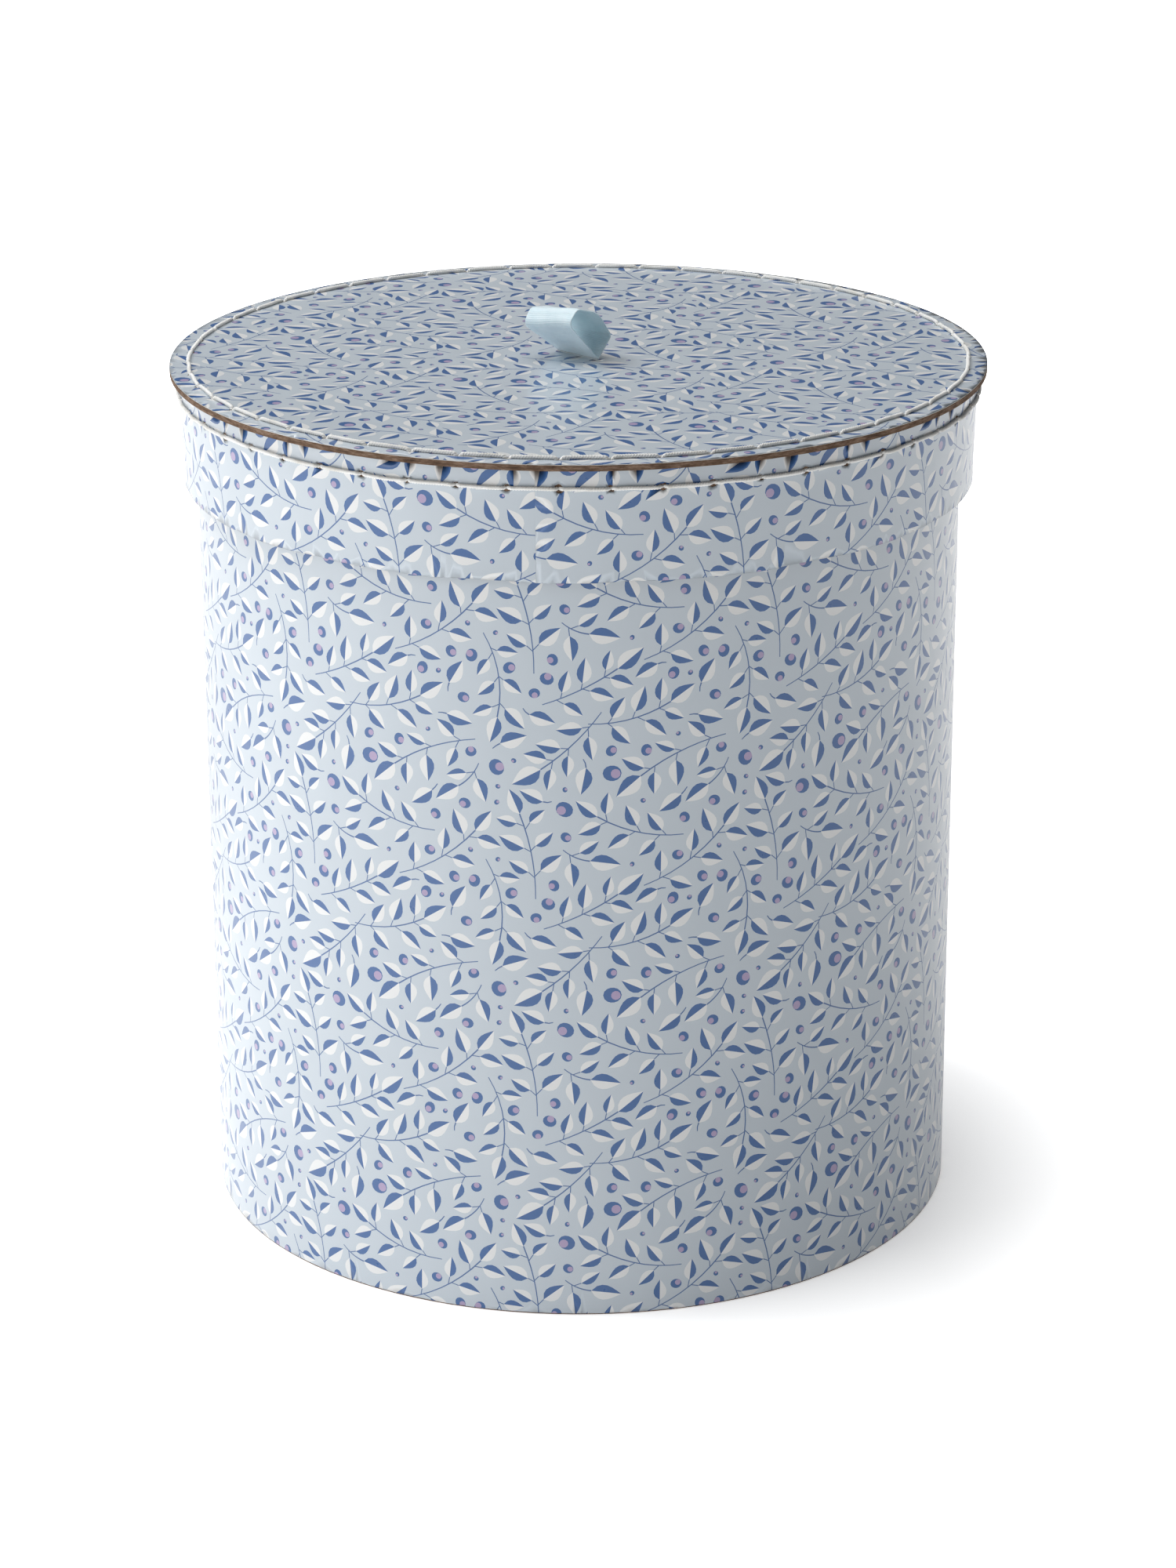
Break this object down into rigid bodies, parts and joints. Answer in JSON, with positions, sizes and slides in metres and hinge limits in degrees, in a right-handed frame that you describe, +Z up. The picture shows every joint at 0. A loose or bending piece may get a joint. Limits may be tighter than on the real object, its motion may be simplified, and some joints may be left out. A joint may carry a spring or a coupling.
{
  "type": "hat box",
  "caption": "Round hat box of printed paper over fibreboard, with a stitched overlapping lid that lifts off by a short ribbon loop.",
  "frame": {"origin": "centre of the base, on the floor that the box stands on", "axes": "+Z up through the lid's centre, +X along the width of the ribbon loop, which leans towards -Y"},
  "size_m": [0.35, 0.35, 0.3982],
  "materials": {
    "printed_paper": "gloss coated, printed with small leaves and berries",
    "fibreboard": "raw brown fibreboard, cut edge",
    "lining_paper": "matt, plain off-white",
    "thread": "twisted cotton, waxed",
    "ribbon": "ribbed grosgrain, slight sheen"
  },
  "bodies": {
    "box": {"body_wall": "fibreboard", "body_cover_paper": "printed_paper", "body_lining_paper": "lining_paper", "base_board": "fibreboard", "base_lining_paper": "lining_paper"},
    "lid": {"lid_board": "fibreboard", "lid_top_paper": "printed_paper", "lid_lining_paper": "lining_paper", "lid_rim_band": "fibreboard", "lid_rim_paper": "printed_paper", "lid_stitch_thread": "thread", "ribbon_tails": "ribbon", "ribbon_patch": "lining_paper"},
    "ribbon": {"ribbon_loop": "ribbon"}
  },
  "joints": [
    {"name": "lid_lift", "type": "slide", "parent": "box", "child": "lid", "axis": [0, 0, 1], "range_m": [0, 0.25]},
    {"name": "ribbon_flop", "type": "hinge", "parent": "lid", "child": "ribbon", "pos_m": [0, -0.0001, 0.37598], "axis": [1, 0, 0], "range_deg": [-48, 35]}
  ]
}
